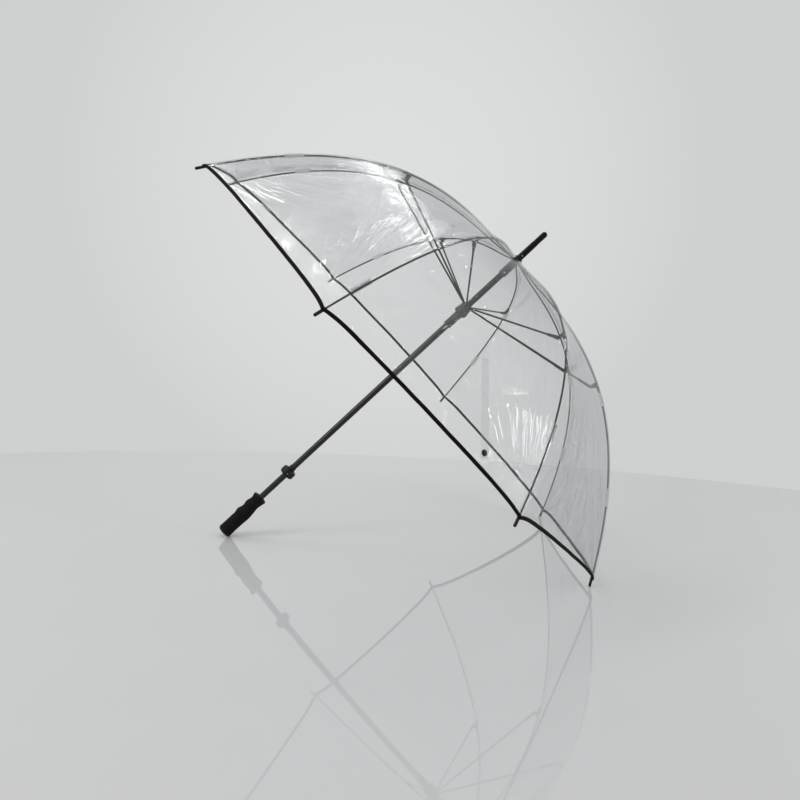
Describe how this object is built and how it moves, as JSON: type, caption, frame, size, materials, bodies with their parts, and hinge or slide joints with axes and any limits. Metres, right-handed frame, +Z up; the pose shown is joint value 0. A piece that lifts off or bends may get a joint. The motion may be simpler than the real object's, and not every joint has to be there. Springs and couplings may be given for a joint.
{
  "type": "clear dome umbrella",
  "caption": "Open clear-film dome umbrella lying on its grip and rib tips; ribs, stretchers and runner fold together along the shaft.",
  "frame": {"origin": "middle of the box's underside, on the surface that the grip's end and two rib tips rest on", "axes": "+Z up; the shaft rises from the grip towards +X at about 46.1 degrees; +Y across the canopy's width"},
  "size_m": [0.8812, 1.1722, 0.8587],
  "materials": {
    "shaft_black": "glossy black glass-fibre tube",
    "grip_foam": "matt moulded foam rubber",
    "fitting_black": "satin moulded nylon",
    "ferrule_black": "satin moulded nylon",
    "rib_black": "black glass-fibre rod",
    "spring_steel": "bright spring steel",
    "film_clear": "clear soft vinyl film with a black bound hem",
    "strap_clear": "clear soft vinyl, two layers"
  },
  "bodies": {
    "stick": {"shaft": "shaft_black", "grip": "grip_foam", "grip_plug": "fitting_black", "ferrule": "ferrule_black", "ferrule_pin": "spring_steel", "top_notch": "fitting_black", "notch_wire": "spring_steel", "notch_pin": "spring_steel", "crown_washer": "fitting_black", "stop_disc": "fitting_black", "stop_pin": "spring_steel"},
    "runner": {"runner": "fitting_black", "runner_wire": "spring_steel"},
    "top_spring": {"top_spring": "spring_steel"},
    "bottom_spring": {"bottom_spring": "spring_steel"},
    "inner_rib_1": {"inner_rib_1": "rib_black", "canopy_panel_1": "film_clear"},
    "outer_rib_1": {"outer_rib_1": "rib_black", "rib_tip_1": "ferrule_black"},
    "stretcher_1": {"stretcher_1": "rib_black"},
    "inner_rib_2": {"inner_rib_2": "rib_black", "canopy_panel_2": "film_clear"},
    "outer_rib_2": {"outer_rib_2": "rib_black", "rib_tip_2": "ferrule_black"},
    "stretcher_2": {"stretcher_2": "rib_black"},
    "inner_rib_3": {"inner_rib_3": "rib_black", "canopy_panel_3": "film_clear"},
    "outer_rib_3": {"outer_rib_3": "rib_black", "rib_tip_3": "ferrule_black"},
    "stretcher_3": {"stretcher_3": "rib_black"},
    "inner_rib_4": {"inner_rib_4": "rib_black", "canopy_panel_4": "film_clear"},
    "outer_rib_4": {"outer_rib_4": "rib_black", "rib_tip_4": "ferrule_black"},
    "stretcher_4": {"stretcher_4": "rib_black"},
    "inner_rib_5": {"inner_rib_5": "rib_black", "canopy_panel_5": "film_clear"},
    "outer_rib_5": {"outer_rib_5": "rib_black", "rib_tip_5": "ferrule_black"},
    "stretcher_5": {"stretcher_5": "rib_black"},
    "inner_rib_6": {"inner_rib_6": "rib_black", "canopy_panel_6": "film_clear"},
    "outer_rib_6": {"outer_rib_6": "rib_black", "rib_tip_6": "ferrule_black"},
    "stretcher_6": {"stretcher_6": "rib_black"},
    "inner_rib_7": {"inner_rib_7": "rib_black", "canopy_panel_7": "film_clear"},
    "outer_rib_7": {"outer_rib_7": "rib_black", "rib_tip_7": "ferrule_black", "closure_strap": "strap_clear", "press_stud": "ferrule_black"},
    "stretcher_7": {"stretcher_7": "rib_black"},
    "inner_rib_8": {"inner_rib_8": "rib_black", "canopy_panel_8": "film_clear"},
    "outer_rib_8": {"outer_rib_8": "rib_black", "rib_tip_8": "ferrule_black"},
    "stretcher_8": {"stretcher_8": "rib_black"}
  },
  "joints": [
    {"name": "canopy_fold", "type": "hinge", "parent": "stick", "child": "inner_rib_1", "pos_m": [0.24266, 0.00421, 0.66301], "axis": [-0.2758, 0.9239, 0.2652], "range_deg": [0, 73.5], "deforming": ["canopy_panel_1", "canopy_panel_2", "canopy_panel_3", "canopy_panel_4", "canopy_panel_5", "canopy_panel_6", "canopy_panel_7", "canopy_panel_8", "top_spring", "bottom_spring", "closure_strap", "press_stud"]},
    {"name": "rib_fold_2", "type": "hinge", "parent": "stick", "child": "inner_rib_2", "pos_m": [0.23836, 0.01016, 0.66714], "axis": [-0.666, 0.3827, 0.6404], "range_deg": [0, 73.5]},
    {"name": "rib_fold_3", "type": "hinge", "parent": "stick", "child": "inner_rib_3", "pos_m": [0.2323, 0.01016, 0.67297], "axis": [-0.666, -0.3827, 0.6404], "range_deg": [0, 73.5]},
    {"name": "rib_fold_4", "type": "hinge", "parent": "stick", "child": "inner_rib_4", "pos_m": [0.228, 0.00421, 0.6771], "axis": [-0.2758, -0.9239, 0.2652], "range_deg": [0, 73.5]},
    {"name": "rib_fold_5", "type": "hinge", "parent": "stick", "child": "inner_rib_5", "pos_m": [0.228, -0.00421, 0.6771], "axis": [0.2758, -0.9239, -0.2652], "range_deg": [0, 73.5]},
    {"name": "rib_fold_6", "type": "hinge", "parent": "stick", "child": "inner_rib_6", "pos_m": [0.2323, -0.01016, 0.67297], "axis": [0.666, -0.3827, -0.6404], "range_deg": [0, 73.5]},
    {"name": "rib_fold_7", "type": "hinge", "parent": "stick", "child": "inner_rib_7", "pos_m": [0.23836, -0.01016, 0.66714], "axis": [0.666, 0.3827, -0.6404], "range_deg": [0, 73.5]},
    {"name": "rib_fold_8", "type": "hinge", "parent": "stick", "child": "inner_rib_8", "pos_m": [0.24266, -0.00421, 0.66301], "axis": [0.2758, 0.9239, -0.2652], "range_deg": [0, 73.5]},
    {"name": "rib_flex_1", "type": "hinge", "parent": "inner_rib_1", "child": "outer_rib_1", "pos_m": [0.41417, 0.1295, 0.40499], "axis": [0.2758, -0.9239, -0.2652], "range_deg": [0, 26.5]},
    {"name": "stretcher_hinge_1", "type": "hinge", "parent": "inner_rib_1", "child": "stretcher_1", "pos_m": [0.39758, 0.12291, 0.41069], "axis": [0.2758, -0.9239, -0.2652], "range_deg": [0, 148]},
    {"name": "rib_flex_2", "type": "hinge", "parent": "inner_rib_2", "child": "outer_rib_2", "pos_m": [0.28216, 0.31263, 0.53193], "axis": [0.666, -0.3827, -0.6404], "range_deg": [0, 26.5]},
    {"name": "stretcher_hinge_2", "type": "hinge", "parent": "inner_rib_2", "child": "stretcher_2", "pos_m": [0.27229, 0.29673, 0.53116], "axis": [0.666, -0.3827, -0.6404], "range_deg": [0, 148]},
    {"name": "rib_flex_3", "type": "hinge", "parent": "inner_rib_3", "child": "outer_rib_3", "pos_m": [0.09547, 0.31263, 0.71144], "axis": [0.666, 0.3827, -0.6404], "range_deg": [0, 26.5]},
    {"name": "stretcher_hinge_3", "type": "hinge", "parent": "inner_rib_3", "child": "stretcher_3", "pos_m": [0.09509, 0.29673, 0.70155], "axis": [0.666, 0.3827, -0.6404], "range_deg": [0, 148]},
    {"name": "rib_flex_4", "type": "hinge", "parent": "inner_rib_4", "child": "outer_rib_4", "pos_m": [-0.03654, 0.1295, 0.83838], "axis": [0.2758, 0.9239, -0.2652], "range_deg": [0, 26.5]},
    {"name": "stretcher_hinge_4", "type": "hinge", "parent": "inner_rib_4", "child": "stretcher_4", "pos_m": [-0.0302, 0.12291, 0.82202], "axis": [0.2758, 0.9239, -0.2652], "range_deg": [0, 148]},
    {"name": "rib_flex_5", "type": "hinge", "parent": "inner_rib_5", "child": "outer_rib_5", "pos_m": [-0.03654, -0.1295, 0.83838], "axis": [-0.2758, 0.9239, 0.2652], "range_deg": [0, 26.5]},
    {"name": "stretcher_hinge_5", "type": "hinge", "parent": "inner_rib_5", "child": "stretcher_5", "pos_m": [-0.0302, -0.12291, 0.82202], "axis": [-0.2758, 0.9239, 0.2652], "range_deg": [0, 148]},
    {"name": "rib_flex_6", "type": "hinge", "parent": "inner_rib_6", "child": "outer_rib_6", "pos_m": [0.09547, -0.31263, 0.71144], "axis": [-0.666, 0.3827, 0.6404], "range_deg": [0, 26.5]},
    {"name": "stretcher_hinge_6", "type": "hinge", "parent": "inner_rib_6", "child": "stretcher_6", "pos_m": [0.09509, -0.29673, 0.70155], "axis": [-0.666, 0.3827, 0.6404], "range_deg": [0, 148]},
    {"name": "rib_flex_7", "type": "hinge", "parent": "inner_rib_7", "child": "outer_rib_7", "pos_m": [0.28216, -0.31263, 0.53193], "axis": [-0.666, -0.3827, 0.6404], "range_deg": [0, 26.5]},
    {"name": "stretcher_hinge_7", "type": "hinge", "parent": "inner_rib_7", "child": "stretcher_7", "pos_m": [0.27229, -0.29673, 0.53116], "axis": [-0.666, -0.3827, 0.6404], "range_deg": [0, 148]},
    {"name": "rib_flex_8", "type": "hinge", "parent": "inner_rib_8", "child": "outer_rib_8", "pos_m": [0.41417, -0.1295, 0.40499], "axis": [-0.2758, -0.9239, 0.2652], "range_deg": [0, 26.5]},
    {"name": "stretcher_hinge_8", "type": "hinge", "parent": "inner_rib_8", "child": "stretcher_8", "pos_m": [0.39758, -0.12291, 0.41069], "axis": [-0.2758, -0.9239, 0.2652], "range_deg": [0, 148]},
    {"name": "runner_hinge", "type": "hinge", "parent": "stretcher_1", "child": "runner", "pos_m": [0.13938, 0.00421, 0.55561], "axis": [-0.2758, 0.9239, 0.2652], "range_deg": [0, 74]},
    {"name": "top_spring_press", "type": "slide", "parent": "stick", "child": "top_spring", "axis": [0, 1, 0], "range_m": [0, 0.0034], "stiffness_N_per_m": 400, "springref_m": -0.002},
    {"name": "bottom_spring_press", "type": "slide", "parent": "stick", "child": "bottom_spring", "axis": [0, -1, 0], "range_m": [0, 0.0034], "stiffness_N_per_m": 400, "springref_m": -0.002}
  ],
  "couplings": [
    {"joint": "rib_fold_2", "follows": "canopy_fold", "ratio": 1},
    {"joint": "rib_fold_3", "follows": "canopy_fold", "ratio": 1},
    {"joint": "rib_fold_4", "follows": "canopy_fold", "ratio": 1},
    {"joint": "rib_fold_5", "follows": "canopy_fold", "ratio": 1},
    {"joint": "rib_fold_6", "follows": "canopy_fold", "ratio": 1},
    {"joint": "rib_fold_7", "follows": "canopy_fold", "ratio": 1},
    {"joint": "rib_fold_8", "follows": "canopy_fold", "ratio": 1},
    {"joint": "rib_flex_1", "follows": "canopy_fold", "ratio": 0.35374},
    {"joint": "stretcher_hinge_1", "follows": "canopy_fold", "ratio": 2},
    {"joint": "rib_flex_2", "follows": "canopy_fold", "ratio": 0.35374},
    {"joint": "stretcher_hinge_2", "follows": "canopy_fold", "ratio": 2},
    {"joint": "rib_flex_3", "follows": "canopy_fold", "ratio": 0.35374},
    {"joint": "stretcher_hinge_3", "follows": "canopy_fold", "ratio": 2},
    {"joint": "rib_flex_4", "follows": "canopy_fold", "ratio": 0.35374},
    {"joint": "stretcher_hinge_4", "follows": "canopy_fold", "ratio": 2},
    {"joint": "rib_flex_5", "follows": "canopy_fold", "ratio": 0.35374},
    {"joint": "stretcher_hinge_5", "follows": "canopy_fold", "ratio": 2},
    {"joint": "rib_flex_6", "follows": "canopy_fold", "ratio": 0.35374},
    {"joint": "stretcher_hinge_6", "follows": "canopy_fold", "ratio": 2},
    {"joint": "rib_flex_7", "follows": "canopy_fold", "ratio": 0.35374},
    {"joint": "stretcher_hinge_7", "follows": "canopy_fold", "ratio": 2},
    {"joint": "rib_flex_8", "follows": "canopy_fold", "ratio": 0.35374},
    {"joint": "stretcher_hinge_8", "follows": "canopy_fold", "ratio": 2},
    {"joint": "runner_hinge", "follows": "canopy_fold", "ratio": 1}
  ]
}
